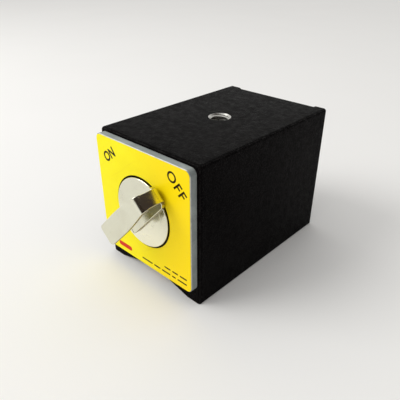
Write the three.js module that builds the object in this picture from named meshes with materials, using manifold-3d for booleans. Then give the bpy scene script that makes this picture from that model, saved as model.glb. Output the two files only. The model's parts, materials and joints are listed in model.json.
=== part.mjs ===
// On/off magnetic holding block: a soft-iron block with a V-groove under it, a magnet rotor in its bore,
// and a knob with a bent sheet-steel lever on the front that turns the rotor a quarter turn.
// Millimetres, +Z up. While drawing, y = 0 is the front face of the iron block and x = 0 is mid-width;
// the last lines move the whole assembly so that its origin is under the middle of its box.
import * as THREE from "three";
import { mergeVertices } from "three/addons/utils/BufferGeometryUtils.js";
import Module from "manifold-3d";

const wasm = await Module();
wasm.setup();

// ---- Driving dimensions ----

const BLOCK_WIDTH = 50;
const BLOCK_LENGTH = 75;
const BLOCK_HEIGHT = 55;
const EDGE_RADIUS = 1.2;
const SEAM = 0.1; // play left between brazed pieces of the block

const AXIS_Z = 30; // height of the rotor and knob axis
const BORE_RADIUS = 16.5;
const GROOVE_HALF_WIDTH = 18.7;
const GROOVE_DEPTH = 5;
const SEPARATOR_WIDTH = 11; // wide enough to hold the tapped hole
const TAP_Y = 37.5;
const TAP_RADIUS = 3.4; // drill size of an M8 thread
const TAP_MOUTH_RADIUS = 4.4;

const CHANNEL_HALF_WIDTH = 19.2; // upright channel in the rear face, for the rear cover
const CHANNEL_DEPTH = 1.3;
const COVER = { width: 38, bottom: 6.2, top: 53.8, thickness: 1.1, corner: 1.5 };

const PLATE = { width: 47.6, height: 47.5, thickness: 2.95, corner: 2.2 };
const PLATE_Z = 30.25;
const PLATE_HOLE_RADIUS = 12.2; // the hub's neck passes here
const PLATE_RECESS_RADIUS = 14.15; // shallow round recess round the knob's disc
const PLATE_RECESS_DEPTH = 1.4;
const LABEL = { inset: 0.25, thickness: 0.1, hole: 14.1, corner: 2 };

const DISC = { radius: 13.1, face: -3.65, back: -2.05, edge: 0.35 };
const SHEET = 1.4; // the lever is one strip of sheet, bent twice
const LEVER_ANGLE = 47.2; // degrees above the +X axis, with the knob at OFF
const FOOT = { face: -5.1, end: -9.8, halfWidth: 4.15, shoulder: 14, neck: 16.8, corner: 1 };
const LEVER_WALL_S = 17.35; // outer face of the upright wall, measured from the axis
const LEVER_BEND = 1; // inside radius of the bend at the foot
const LEVER_LEAN = 8.5; // degrees that the wall leans back over the disc
const LEVER_TOP_Y = -13.46; // where the outer faces of the wall and the grip would meet
const LEVER_TIP = { s: -11, y: -14.7 };
const LEVER_TOP_BEND = 2.8; // outside radius of the bend at the grip
const LEVER_HALF_WIDTH = { wall: 2.6, grip: 4.1 };
const LEVER_FLARE = 17.9; // length over which the wall's width grows to the grip's
const LEVER_TIP_CORNER = 1.5;

const HUB = { neck: 11.9, flange: 15.8, front: -1.95, flangeFront: 0.35, flangeBack: 2.5 };
const RIVET = { s: 6, head: 1.5, shank: 1.1, end: 0.5, play: 0.2 };
const TANG = { width: 5, length: 14, end: 6.4 };
const STOP_RADIUS = 14; // circle on which the stop pin stands
const STOP_PIN = { radius: 1.2, front: -1.2, back: 2.3 };
const STOP_TRAVEL = 90;

const ROTOR_RADIUS = 16.1;
const ROTOR = { front: 3.2, poles: 8, rear: 64, end: 67 };
const ROTOR_SLOT_DEPTH = 4;
const MAGNET = { halfWidth: 13.4, halfHeight: 4, gap: 0.2 };
const TIE = { x: 7.5, z: 9.5, radius: 1.25, head: 2.2 };
const STUB = { radius: 5, end: 72.4 };
const THRUST = { outer: 16.2, hole: 5.3, front: 69.6, back: 73.4 };
const WAVE = { inner: 7, outer: 12, thickness: 0.5, height: 0.45, y: 68.3, waves: 3 };

const SCREW = {
  head: 2.7,
  shank: 1.3,
  length: 9.5,
  crossLength: 3.1,
  crossWidth: 0.75,
  crossDepth: 0.9,
};
const SCREW_PLAY = 0.25;
const PLATE_SCREW_X = 19;
const PLATE_SCREW_RISE = 18.7; // above and below PLATE_Z
const COVER_SCREW = { x: 15.2, low: 10.4, high: 49.6 };

const FINE = 56; // facets round a large circle
const COARSE = 20; // facets round a small one

// ---- Finishes ----

const finish = (color, roughness, metalness) =>
  new THREE.MeshStandardMaterial({ color, roughness, metalness });

const blackPaint = finish(0x1b1c1f, 0.62, 0.1);
const greyPaint = finish(0x8f959c, 0.5, 0.3);
const yellowLabel = finish(0xffdc10, 0.45, 0);
const nickel = finish(0xd9d5c8, 0.2, 1);
const steel = finish(0x9a9ca0, 0.35, 1);
const softIron = finish(0x6c6f74, 0.45, 1);
const brass = finish(0xc2a15a, 0.35, 1);
const ferrite = finish(0x2b2a2c, 0.8, 0);
const rubber = finish(0x151515, 0.85, 0);

// ---- Small tools ----

// A closed geometry as a solid that can be joined and cut, with its faces pointing out.
function solid(geometry) {
  const bare = new THREE.BufferGeometry();
  bare.setAttribute("position", geometry.getAttribute("position"));
  bare.setIndex(geometry.index);
  const merged = mergeVertices(bare, 1e-4);
  const build = (triVerts) =>
    new wasm.Manifold(
      new wasm.Mesh({
        numProp: 3,
        vertProperties: merged.attributes.position.array,
        triVerts,
      }),
    );
  const made = build(new Uint32Array(merged.index.array));
  if (made.volume() > 0) return made;
  return build(new Uint32Array(merged.index.array).reverse());
}

function geometryOf(made) {
  const mesh = made.getMesh();
  const geometry = new THREE.BufferGeometry();
  geometry.setAttribute("position", new THREE.BufferAttribute(mesh.vertProperties, 3));
  geometry.setIndex(new THREE.BufferAttribute(mesh.triVerts, 1));
  geometry.computeVertexNormals();
  return geometry;
}

function add(group, name, made, material) {
  const mesh = new THREE.Mesh(geometryOf(made), material);
  mesh.name = name;
  group.add(mesh);
}

const cut = (made, ...tools) => tools.reduce((left, tool) => left.subtract(tool), made);
const join = (first, ...others) => others.reduce((sum, other) => sum.add(other), first);

function box(x0, x1, y0, y1, z0, z1) {
  const geometry = new THREE.BoxGeometry(x1 - x0, y1 - y0, z1 - z0);
  return solid(geometry.translate((x0 + x1) / 2, (y0 + y1) / 2, (z0 + z1) / 2));
}

// A round piece about the Y direction, from [radius, y] pairs that start and end on the axis.
function turned(profile, facets, x = 0, z = 0) {
  const points = profile.map(([radius, y]) => new THREE.Vector2(radius, y));
  return solid(new THREE.LatheGeometry(points, facets).translate(x, 0, z));
}

const rod = (radius, y0, y1, facets, x = 0, z = 0) =>
  turned([[0, y0], [radius, y0], [radius, y1], [0, y1]], facets, x, z);

// An outline drawn in X and Z, given depth along Y.
function prismY(outline, y0, y1, curveSegments = 6) {
  const geometry = new THREE.ExtrudeGeometry(outline, {
    depth: y1 - y0,
    bevelEnabled: false,
    curveSegments,
  });
  return solid(geometry.rotateX(Math.PI / 2).translate(0, y1, 0));
}

// A rectangle with round corners, between two corners.
function roundedRectangle(x0, y0, x1, y1, radius) {
  const outline = new THREE.Shape();
  outline.absarc(x1 - radius, y1 - radius, radius, 0, Math.PI / 2);
  outline.absarc(x0 + radius, y1 - radius, radius, Math.PI / 2, Math.PI);
  outline.absarc(x0 + radius, y0 + radius, radius, Math.PI, 1.5 * Math.PI);
  outline.absarc(x1 - radius, y0 + radius, radius, 1.5 * Math.PI, 2 * Math.PI);
  return outline;
}

// A countersunk screw that points from its head at y to the inside, and the hole it stands in.
// inwards is +1 where the screw goes towards +Y and -1 where it goes towards -Y.
function countersunk(x, z, y, inwards, play) {
  const head = SCREW.head + play;
  const shank = SCREW.shank + play;
  const depth = head - shank;
  const proud = play > 0 ? 1 : 0; // the hole's cutter starts outside the face
  return turned(
    [
      [0, y - inwards * proud],
      [head, y - inwards * proud],
      [head, y],
      [shank, y + inwards * depth],
      [shank, y + inwards * (SCREW.length + play)],
      [0, y + inwards * (SCREW.length + play)],
    ],
    COARSE,
    x,
    z,
  );
}

function screw(x, z, y, inwards) {
  const made = countersunk(x, z, y, inwards, 0);
  const deep = y + inwards * SCREW.crossDepth;
  const outside = y - inwards;
  const arm = (halfX, halfZ) =>
    box(x - halfX, x + halfX, Math.min(deep, outside), Math.max(deep, outside), z - halfZ, z + halfZ);
  const { crossLength, crossWidth } = SCREW;
  return cut(made, arm(crossLength / 2, crossWidth / 2), arm(crossWidth / 2, crossLength / 2));
}

const plateScrewPlaces = [-1, 1].flatMap((side) =>
  [-1, 1].map((rise) => [side * PLATE_SCREW_X, PLATE_Z + rise * PLATE_SCREW_RISE]),
);
const coverScrewPlaces = [-1, 1].flatMap((side) =>
  [COVER_SCREW.low, COVER_SCREW.high].map((z) => [side * COVER_SCREW.x, z]),
);
const coverBack = BLOCK_LENGTH - CHANNEL_DEPTH + COVER.thickness;

// ---- The iron block ----

function blockBlank() {
  const half = BLOCK_WIDTH / 2;
  const outline = new THREE.Shape();
  outline.moveTo(0, GROOVE_DEPTH);
  outline.lineTo(GROOVE_HALF_WIDTH, 0);
  outline.lineTo(half - 0.5, 0);
  outline.lineTo(half, 0.5);
  outline.absarc(half - EDGE_RADIUS, BLOCK_HEIGHT - EDGE_RADIUS, EDGE_RADIUS, 0, Math.PI / 2);
  outline.absarc(
    -half + EDGE_RADIUS,
    BLOCK_HEIGHT - EDGE_RADIUS,
    EDGE_RADIUS,
    Math.PI / 2,
    Math.PI,
  );
  outline.lineTo(-half, 0.5);
  outline.lineTo(-half + 0.5, 0);
  outline.lineTo(-GROOVE_HALF_WIDTH, 0);
  const bar = prismY(outline, 0, BLOCK_LENGTH, 4);
  const plan = new THREE.ExtrudeGeometry(
    roundedRectangle(-half, 0, half, BLOCK_LENGTH, EDGE_RADIUS),
    { depth: BLOCK_HEIGHT + 2, bevelEnabled: false, curveSegments: 4 },
  );
  return bar.intersect(solid(plan.translate(0, 0, -1)));
}

function tappedHole() {
  const top = BLOCK_HEIGHT;
  const mouth = TAP_MOUTH_RADIUS - TAP_RADIUS;
  const profile = [
    [0, AXIS_Z],
    [TAP_RADIUS, AXIS_Z],
    [TAP_RADIUS, top - mouth],
    [TAP_MOUTH_RADIUS, top],
    [TAP_MOUTH_RADIUS, top + 1],
    [0, top + 1],
  ].map(([radius, z]) => new THREE.Vector2(radius, z));
  const geometry = new THREE.LatheGeometry(profile, 28);
  return solid(geometry.rotateX(Math.PI / 2).translate(0, TAP_Y, 0));
}

function makeBlock(group) {
  const half = BLOCK_WIDTH / 2;
  const channelFloor = BLOCK_LENGTH - CHANNEL_DEPTH;
  const bored = cut(
    blockBlank(),
    rod(BORE_RADIUS, -1, BLOCK_LENGTH + 1, FINE, 0, AXIS_Z),
    box(-CHANNEL_HALF_WIDTH, CHANNEL_HALF_WIDTH, channelFloor, BLOCK_LENGTH + 1, -1, BLOCK_HEIGHT + 1),
    tappedHole(),
    ...plateScrewPlaces.map(([x, z]) => countersunk(x, z, -PLATE.thickness, 1, SCREW_PLAY)),
    ...coverScrewPlaces.map(([x, z]) => countersunk(x, z, coverBack, -1, SCREW_PLAY)),
  );
  const outer = (SEPARATOR_WIDTH + SEAM) / 2;
  const inner = (SEPARATOR_WIDTH - SEAM) / 2;
  const over = BLOCK_HEIGHT + 1;
  const slice = (x0, x1, z0, z1) => bored.intersect(box(x0, x1, -1, BLOCK_LENGTH + 1, z0, z1));
  add(group, "pole_shoe_right", slice(outer, half + 1, -1, over), blackPaint);
  add(group, "pole_shoe_left", slice(-half - 1, -outer, -1, over), blackPaint);
  add(group, "separator_top", slice(-inner, inner, AXIS_Z, over), blackPaint);
  add(group, "separator_bottom", slice(-inner, inner, -1, AXIS_Z), brass);
}

// ---- Front plate, its label and screws ----

function makeFront(group) {
  const halfWidth = PLATE.width / 2;
  const halfHeight = PLATE.height / 2;
  const front = -PLATE.thickness;
  const outline = roundedRectangle(
    -halfWidth,
    PLATE_Z - halfHeight,
    halfWidth,
    PLATE_Z + halfHeight,
    PLATE.corner,
  );
  const pinHole = STOP_PIN.radius + SCREW_PLAY;
  const plate = cut(
    prismY(outline, front, -0.05),
    rod(PLATE_HOLE_RADIUS, front - 1, 1, FINE, 0, AXIS_Z),
    rod(PLATE_RECESS_RADIUS, front - 1, front + PLATE_RECESS_DEPTH, FINE, 0, AXIS_Z),
    rod(pinHole, STOP_PIN.front - SCREW_PLAY, 1, COARSE, 0, AXIS_Z + STOP_RADIUS),
    ...plateScrewPlaces.map(([x, z]) => countersunk(x, z, front, 1, SCREW_PLAY)),
  );
  add(group, "front_plate", plate, greyPaint);

  const sheet = roundedRectangle(
    -halfWidth + LABEL.inset,
    PLATE_Z - halfHeight + LABEL.inset,
    halfWidth - LABEL.inset,
    PLATE_Z + halfHeight - LABEL.inset,
    LABEL.corner,
  );
  const hole = new THREE.Path();
  hole.absarc(0, AXIS_Z, LABEL.hole, 0, 2 * Math.PI);
  sheet.holes.push(hole);
  const label = prismY(sheet, front - LABEL.thickness, front, 12);
  add(group, "front_label", label, yellowLabel);

  plateScrewPlaces.forEach(([x, z], i) => {
    add(group, `plate_screw_${i + 1}`, screw(x, z, front + 0.05, 1), steel);
  });
  const pin = rod(STOP_PIN.radius, STOP_PIN.front, STOP_PIN.back, COARSE, 0, AXIS_Z + STOP_RADIUS);
  add(group, "stop_pin", pin, steel);
}

// ---- Rear cover, its screws, and what it holds in the bore ----

function makeRear(group) {
  const outline = roundedRectangle(
    -COVER.width / 2,
    COVER.bottom,
    COVER.width / 2,
    COVER.top,
    COVER.corner,
  );
  const floor = BLOCK_LENGTH - CHANNEL_DEPTH;
  const cover = cut(
    prismY(outline, floor + 0.05, coverBack),
    ...coverScrewPlaces.map(([x, z]) => countersunk(x, z, coverBack, -1, SCREW_PLAY)),
  );
  add(group, "rear_cover", cover, blackPaint);
  coverScrewPlaces.forEach(([x, z], i) => {
    add(group, `cover_screw_${i + 1}`, screw(x, z, coverBack - 0.05, -1), steel);
  });

  const thrust = cut(
    rod(THRUST.outer, THRUST.front, THRUST.back, FINE, 0, AXIS_Z),
    rod(THRUST.hole, THRUST.front - 1, THRUST.back + 1, COARSE, 0, AXIS_Z),
  );
  add(group, "thrust_bush", thrust, brass);
  add(group, "wave_washer", waveWasher(), steel);
}

// A flat ring whose height rises and falls round its circle.
function waveWasher() {
  const { inner, outer, thickness, height, y, waves } = WAVE;
  const low = y - thickness / 2;
  const high = y + thickness / 2;
  const ring = [[inner, low], [outer, low], [outer, high], [inner, high], [inner, low]];
  const points = ring.map(([radius, at]) => new THREE.Vector2(radius, at));
  const geometry = new THREE.LatheGeometry(points, 48);
  const position = geometry.getAttribute("position");
  for (let i = 0; i < position.count; i += 1) {
    const turn = Math.atan2(position.getZ(i), position.getX(i));
    position.setY(i, position.getY(i) + height * Math.sin(waves * turn));
  }
  return solid(geometry.translate(0, 0, AXIS_Z));
}

// ---- Knob: a disc, a lever bent from one strip, a hub, two rivets through all three and a seal ----
// Drawn with the lever along +X from the axis, which is the Y direction through the group's origin.

// The strip's side view: along the foot that lies on the disc, up the wall and over into the grip.
function leverSide() {
  const lean = THREE.MathUtils.degToRad(LEVER_LEAN);
  const outer = LEVER_BEND + SHEET;
  const bend = [LEVER_WALL_S - outer, FOOT.face - LEVER_BEND];
  const wallTop = new THREE.Vector2(-Math.sin(lean), -Math.cos(lean)); // direction up the wall
  const start = [bend[0] + outer * Math.cos(lean), bend[1] - outer * Math.sin(lean)];
  const climb = (LEVER_TOP_Y - start[1]) / wallTop.y;
  const corner = [start[0] + wallTop.x * climb, LEVER_TOP_Y]; // wall and grip would meet here
  const run = Math.atan2(LEVER_TIP.y - corner[1], LEVER_TIP.s - corner[0]);
  const grip = new THREE.Vector2(Math.cos(run), Math.sin(run));
  const setback = LEVER_TOP_BEND * Math.tan(Math.acos(wallTop.dot(grip)) / 2);
  const top = [
    corner[0] - wallTop.x * setback - Math.cos(lean) * LEVER_TOP_BEND,
    corner[1] - wallTop.y * setback + Math.sin(lean) * LEVER_TOP_BEND,
  ];
  const inner = LEVER_TOP_BEND - SHEET;
  const wallNormal = -lean;
  const gripNormal = run + Math.PI / 2 - 2 * Math.PI;
  const thick = [Math.cos(gripNormal) * SHEET, Math.sin(gripNormal) * SHEET];
  const outline = new THREE.Shape();
  outline.moveTo(FOOT.end, FOOT.face + SHEET);
  outline.absarc(bend[0], bend[1], outer, Math.PI / 2, wallNormal, true);
  outline.absarc(top[0], top[1], LEVER_TOP_BEND, wallNormal, gripNormal, true);
  outline.lineTo(LEVER_TIP.s, LEVER_TIP.y);
  outline.lineTo(LEVER_TIP.s - thick[0], LEVER_TIP.y - thick[1]);
  outline.absarc(top[0], top[1], inner, gripNormal, wallNormal, false);
  outline.absarc(bend[0], bend[1], LEVER_BEND, wallNormal, Math.PI / 2, false);
  outline.lineTo(FOOT.end, FOOT.face);
  return outline;
}

// The grip seen from the front: narrow at the wall, then flared, with round corners at the tip.
function gripPlan() {
  const { wall, grip } = LEVER_HALF_WIDTH;
  const steps = 8;
  const flank = [];
  for (let i = 0; i <= steps; i += 1) {
    const part = i / steps;
    flank.push([LEVER_WALL_S - LEVER_FLARE * part, wall + (grip - wall) * part * (2 - part)]);
  }
  const outline = new THREE.Shape();
  outline.moveTo(LEVER_WALL_S + 1, -wall);
  outline.lineTo(LEVER_WALL_S + 1, wall);
  flank.forEach(([s, n]) => outline.lineTo(s, n));
  const cornerS = LEVER_TIP.s + LEVER_TIP_CORNER;
  const cornerN = grip - LEVER_TIP_CORNER;
  outline.absarc(cornerS, cornerN, LEVER_TIP_CORNER, Math.PI / 2, Math.PI);
  outline.absarc(cornerS, -cornerN, LEVER_TIP_CORNER, Math.PI, 1.5 * Math.PI);
  flank.reverse().forEach(([s, n]) => outline.lineTo(s, -n));
  return outline;
}

// The foot seen from the front: one width over the disc, then drawn in to the wall's width.
function footPlan() {
  const { end, halfWidth, shoulder, neck, corner } = FOOT;
  const { wall } = LEVER_HALF_WIDTH;
  const middle = (shoulder + neck) / 2;
  const outline = new THREE.Shape();
  outline.moveTo(LEVER_WALL_S + 1, -wall);
  outline.lineTo(LEVER_WALL_S + 1, wall);
  outline.lineTo(neck, wall);
  outline.quadraticCurveTo(middle, wall, shoulder, halfWidth);
  outline.absarc(end + corner, halfWidth - corner, corner, Math.PI / 2, Math.PI);
  outline.absarc(end + corner, corner - halfWidth, corner, Math.PI, 1.5 * Math.PI);
  outline.lineTo(shoulder, -halfWidth);
  outline.quadraticCurveTo(middle, -wall, neck, -wall);
  return outline;
}

// A rivet with a flush countersunk head, at its place along the lever. With play it is its own bore.
function rivet(s, play) {
  const face = play > 0 ? FOOT.face - 1 : FOOT.face + 0.05;
  const cone = FOOT.face + 0.3;
  const profile = [
    [0, face],
    [RIVET.head + play, face],
    [RIVET.head + play, cone],
    [RIVET.shank + play, cone + RIVET.head - RIVET.shank],
    [RIVET.shank + play, RIVET.end + play],
    [0, RIVET.end + play],
  ];
  return turned(profile, COARSE, s);
}

function makeKnob(group) {
  const side = new THREE.ExtrudeGeometry(leverSide(), {
    depth: 12,
    bevelEnabled: false,
    curveSegments: 7,
  });
  const strip = solid(side.translate(0, 0, -6));
  const halfWay = FOOT.face - LEVER_BEND; // the wall starts here
  const upper = strip.intersect(prismY(gripPlan(), -20, halfWay, 5));
  const lower = strip.intersect(prismY(footPlan(), halfWay, 0, 5));
  const rivetPlaces = [-RIVET.s, RIVET.s];
  const bores = rivetPlaces.map((s) => rivet(s, RIVET.play));
  const footBores = bores.map((bore) => bore.intersect(box(-20, 20, halfWay, 0, -20, 20)));
  add(group, "knob_lever", cut(join(upper, lower), ...footBores), nickel);

  const disc = turned(
    [
      [0, DISC.back],
      [DISC.radius, DISC.back],
      [DISC.radius, DISC.face + DISC.edge],
      [DISC.radius - DISC.edge, DISC.face],
      [0, DISC.face],
    ],
    FINE,
  );
  add(group, "knob_disc", cut(disc, ...bores), nickel);

  const { neck, flange, front, flangeFront, flangeBack } = HUB;
  const groove = { y: -0.75, half: 0.75, depth: 1.3 };
  const body = turned(
    [
      [0, front],
      [neck - 0.3, front],
      [neck, front + 0.3],
      [neck, groove.y - groove.half],
      [neck - groove.depth, groove.y - groove.half],
      [neck - groove.depth, groove.y + groove.half],
      [neck, groove.y + groove.half],
      [neck, flangeFront],
      [flange, flangeFront],
      [flange, flangeBack],
      [0, flangeBack],
    ],
    FINE,
  );
  const halfLength = TANG.length / 2;
  const halfTang = TANG.width / 2;
  const tang = box(-halfLength, halfLength, flangeBack - 1, TANG.end, -halfTang, halfTang);
  add(group, "knob_hub", cut(join(body, tang), stopNotch(), ...bores), steel);

  rivetPlaces.forEach((s, i) => add(group, `knob_rivet_${i + 1}`, rivet(s, 0), steel));

  const ring = new THREE.TorusGeometry(neck - 0.5, 0.6, 10, 40);
  add(group, "hub_seal", solid(ring.rotateX(Math.PI / 2).translate(0, groove.y, 0)), rubber);
}

// The flange is cut away over the knob's travel, so that the fixed stop pin ends the turn both ways.
function stopNotch() {
  const half = Math.asin((STOP_PIN.radius + SCREW_PLAY) / STOP_RADIUS);
  const pinAngle = Math.PI / 2 - THREE.MathUtils.degToRad(LEVER_ANGLE); // seen from the turned knob
  const from = pinAngle - THREE.MathUtils.degToRad(STOP_TRAVEL) - half;
  const to = pinAngle + half;
  const outline = new THREE.Shape();
  outline.absarc(0, 0, HUB.flange + 1, from, to);
  outline.absarc(0, 0, STOP_RADIUS - STOP_PIN.radius - SCREW_PLAY, to, from, true);
  return prismY(outline, HUB.flangeFront - 0.5, HUB.flangeBack + 0.5, 16);
}

// ---- Rotor: two ferrite magnets between half-round iron poles, clamped by two end caps ----

function makeRotor(group) {
  const tiePlaces = [-1, 1].flatMap((side) => [-1, 1].map((rise) => [side * TIE.x, rise * TIE.z]));
  const holes = tiePlaces.map(([x, z]) => rod(TIE.radius + 0.25, 0, ROTOR.end + 1, COARSE, x, z));
  const halfSlot = TANG.width / 2 + 0.3;
  const halfRun = TANG.length / 2 + 0.4;
  const slotEnd = ROTOR.front + ROTOR_SLOT_DEPTH;
  const turnToTang = THREE.MathUtils.degToRad(-LEVER_ANGLE);
  const slot = new THREE.BoxGeometry(2 * halfRun, 2 * ROTOR_SLOT_DEPTH, 2 * halfSlot);
  slot.rotateY(turnToTang).translate(0, slotEnd - ROTOR_SLOT_DEPTH, 0);
  const recess = ([x, z]) => rod(TIE.head + 0.25, ROTOR.front - 1, ROTOR.front + 1.5, COARSE, x, z);
  const frontCap = cut(
    rod(ROTOR_RADIUS, ROTOR.front, ROTOR.poles - 0.05, FINE),
    solid(slot),
    ...holes,
    ...tiePlaces.map(recess),
  );
  add(group, "rotor_cap_front", frontCap, brass);

  const rearCap = cut(
    join(
      rod(ROTOR_RADIUS, ROTOR.rear + 0.05, ROTOR.end, FINE),
      rod(STUB.radius, ROTOR.end - 1, STUB.end, COARSE),
    ),
    ...holes,
  );
  add(group, "rotor_cap_rear", rearCap, brass);

  const round = rod(ROTOR_RADIUS, ROTOR.poles, ROTOR.rear, FINE);
  const reach = ROTOR_RADIUS + 1;
  const edge = MAGNET.halfHeight + MAGNET.gap;
  for (const [name, low, high] of [["upper", edge, reach], ["lower", -reach, -edge]]) {
    const half = round.intersect(box(-reach, reach, ROTOR.poles, ROTOR.rear, low, high));
    add(group, `rotor_pole_${name}`, cut(half, ...holes), softIron);
  }

  const middle = (ROTOR.poles + ROTOR.rear) / 2;
  const { halfWidth, halfHeight, gap } = MAGNET;
  for (const [name, y0, y1] of [
    ["front", ROTOR.poles + gap, middle - gap / 2],
    ["rear", middle + gap / 2, ROTOR.rear - gap],
  ]) {
    const block = box(-halfWidth, halfWidth, y0, y1, -halfHeight, halfHeight);
    add(group, `magnet_${name}`, block, ferrite);
  }

  tiePlaces.forEach(([x, z], i) => {
    const tie = turned(
      [
        [0, ROTOR.front + 0.3],
        [TIE.head, ROTOR.front + 0.3],
        [TIE.head, ROTOR.front + 1.3],
        [TIE.radius, ROTOR.front + 1.3],
        [TIE.radius, ROTOR.end - 0.3],
        [0, ROTOR.end - 0.3],
      ],
      COARSE,
      x,
      z,
    );
    add(group, `tie_bolt_${i + 1}`, tie, steel);
  });
}

// ---- Assembly ----

const holder = new THREE.Group();

const block = new THREE.Group();
makeBlock(block);
makeFront(block);
makeRear(block);
holder.add(block);

const knob = new THREE.Group();
knob.position.z = AXIS_Z;
knob.rotation.y = THREE.MathUtils.degToRad(-LEVER_ANGLE);
makeKnob(knob);
holder.add(knob);

const rotor = new THREE.Group();
rotor.position.z = AXIS_Z;
makeRotor(rotor);
holder.add(rotor);

// The box runs from the lever's tip to the rear face; its middle becomes y = 0.
holder.position.y = -(BLOCK_LENGTH + LEVER_TIP.y) / 2;

export default holder;
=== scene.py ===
"""The looks of an on/off magnetic holding block: an iron block with a V-groove under it, a front plate
with a printed label, and a knob with a bent sheet-steel lever. Lengths are in millimetres, and MM turns
them into metres."""

import json
import math

import bmesh
import bpy
from mathutils import Matrix, Vector


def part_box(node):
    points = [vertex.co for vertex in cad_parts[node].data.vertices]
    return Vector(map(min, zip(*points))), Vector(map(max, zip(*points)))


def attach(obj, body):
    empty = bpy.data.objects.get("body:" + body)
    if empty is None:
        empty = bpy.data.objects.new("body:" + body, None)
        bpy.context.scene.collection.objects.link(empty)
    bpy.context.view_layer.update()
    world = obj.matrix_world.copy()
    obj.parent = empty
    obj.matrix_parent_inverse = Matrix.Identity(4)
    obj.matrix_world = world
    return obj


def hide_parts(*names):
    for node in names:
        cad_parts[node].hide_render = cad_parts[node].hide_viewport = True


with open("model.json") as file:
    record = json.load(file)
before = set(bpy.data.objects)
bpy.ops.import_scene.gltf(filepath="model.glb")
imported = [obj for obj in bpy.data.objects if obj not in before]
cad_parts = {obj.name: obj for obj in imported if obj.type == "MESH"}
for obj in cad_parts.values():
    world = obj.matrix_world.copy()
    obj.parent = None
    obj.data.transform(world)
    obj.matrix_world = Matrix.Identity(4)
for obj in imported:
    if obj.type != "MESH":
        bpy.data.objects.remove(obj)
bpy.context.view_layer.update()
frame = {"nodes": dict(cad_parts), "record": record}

MM = 0.001

# ---- Where things are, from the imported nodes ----

shoe_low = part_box("pole_shoe_left")[0] / MM
shoe_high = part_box("pole_shoe_right")[1] / MM
disc_low, disc_high = (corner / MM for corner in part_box("knob_disc"))
FRONT_Y = shoe_low.y  # front face of the iron block
REAR_Y = shoe_high.y
LENGTH = REAR_Y - FRONT_Y
HALF_WIDTH = shoe_high.x
HEIGHT = shoe_high.z
AXIS_Z = (disc_low.z + disc_high.z) / 2  # height of the knob and rotor axis

# ---- Driving dimensions, in millimetres; y is measured back from the front face of the block ----

EDGE_RADIUS = 1.2
FOOT_EDGE = 0.5
SMALL_EDGE = 0.25  # left by the paint on every other edge of the block
GROOVE = {"half_width": 18.7, "depth": 5}
BORE_RADIUS = 16.5
STRIP_HALF_WIDTH = 5.5  # the non-magnetic strips between the two pole shoes
CHANNEL = {"half_width": 19.2, "depth": 1.3}
TAP = {"y": 37.5, "drill": 3.4, "thread": 4.0, "mouth": 4.4, "pitch": 1.25, "turns": 10, "facets": 72}

PLATE = {"width": 47.6, "height": 47.5, "thickness": 2.95, "corner": 2.2, "z": 30.25}
PLATE_EDGE = {"front": 0.25, "rear": 0.2}
SEAT_GAP = 0.05  # between a plate and the face that it lies on
PLATE_HOLE = 12.2
PIN_HOLE = {"radius": 1.4, "depth": 1.4, "above_axis": 14}
RECESS = {"radius": 14.0, "depth": 1.4}
LABEL = {"inset": 0.25, "thickness": 0.1, "hole": 13.95, "corner": 2}
LABEL_FACE = -PLATE["thickness"] - LABEL["thickness"]
INK = 0.015  # thickness of the printing
PLATE_SCREWS = [(-19, 11.35), (-19, 48.75), (19, 11.35), (19, 48.75)]
COVER = {"width": 38, "bottom": 6.2, "top": 53.8, "thickness": 1.1, "corner": 1.5, "edge": 0.25}
CHANNEL_FLOOR = LENGTH - CHANNEL["depth"]
COVER_FACE = CHANNEL_FLOOR + COVER["thickness"]
COVER_SCREWS = [(-15.2, 10.4), (-15.2, 49.6), (15.2, 10.4), (15.2, 49.6)]
SCREW = {"head": 2.7, "shank": 1.3, "length": 9.5, "play": 0.25, "below": 0.05, "edge": 0.08}
CROSS = {"length": 3.1, "width": 0.75, "depth": 0.95}

DISC = {"radius": 13.3, "face": -3.65, "back": -2.05, "edge": 0.35, "rear_edge": 0.15}
LEVER_ANGLE = 47.2
SHEET = 1.4
FOOT = {"face": -5.1, "end": -9.8, "half_width": 4.15, "shoulder": 14.0, "neck": 16.8, "corner": 1.0}
WALL = {"s": 17.35, "lean": 8.5, "half_width": 2.6}
FOOT_BEND = 1.0  # inside radius
GRIP_BEND = 2.8  # outside radius
GRIP = {"meets_wall_y": -13.46, "tip_s": -10.6, "tip_y": -14.7, "half_width": 4.1, "flare": 17.9}
GRIP_CORNER = 1.5
LEVER_EDGE = 0.22
RIVET = {"s": 6, "head": 1.5, "shank": 1.1, "end": 0.5, "play": 0.2, "below": 0.03, "edge": 0.12}
CONE_START = 0.3  # how far below its head's face a countersink begins to narrow


# ---- Modelling tools ----

def clear_selection():
    if bpy.context.mode != "OBJECT":
        bpy.ops.object.mode_set(mode="OBJECT")
    bpy.ops.object.select_all(action="DESELECT")


def take(piece):
    """Make this piece the only selected and active one."""
    clear_selection()
    piece.select_set(True)
    bpy.context.view_layer.objects.active = piece
    return piece


def settle():
    """Apply the selected piece's place, turn and scale to its mesh."""
    bpy.ops.object.transform_apply(location=True, rotation=True, scale=True)


def named(name):
    piece = bpy.context.active_object
    piece.name = name
    piece.data.name = name
    settle()
    return piece


def slab(name, low, high):
    """A box between two corners, y from the front face of the block."""
    clear_selection()
    middle = [(a + b) / 2 for a, b in zip(low, high)]
    spot = (middle[0] * MM, (middle[1] + FRONT_Y) * MM, middle[2] * MM)
    bpy.ops.mesh.primitive_cube_add(size=1, location=spot)
    bpy.context.active_object.scale = [(b - a) * MM for a, b in zip(low, high)]
    return named(name)


def rod(name, radius, y0, y1, z=AXIS_Z, facets=128):
    """A round bar along Y."""
    clear_selection()
    bpy.ops.mesh.primitive_cylinder_add(
        vertices=facets,
        radius=radius * MM,
        depth=(y1 - y0) * MM,
        location=(0, (FRONT_Y + (y0 + y1) / 2) * MM, z * MM),
        rotation=(math.pi / 2, 0, 0),
    )
    return named(name)


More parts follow.
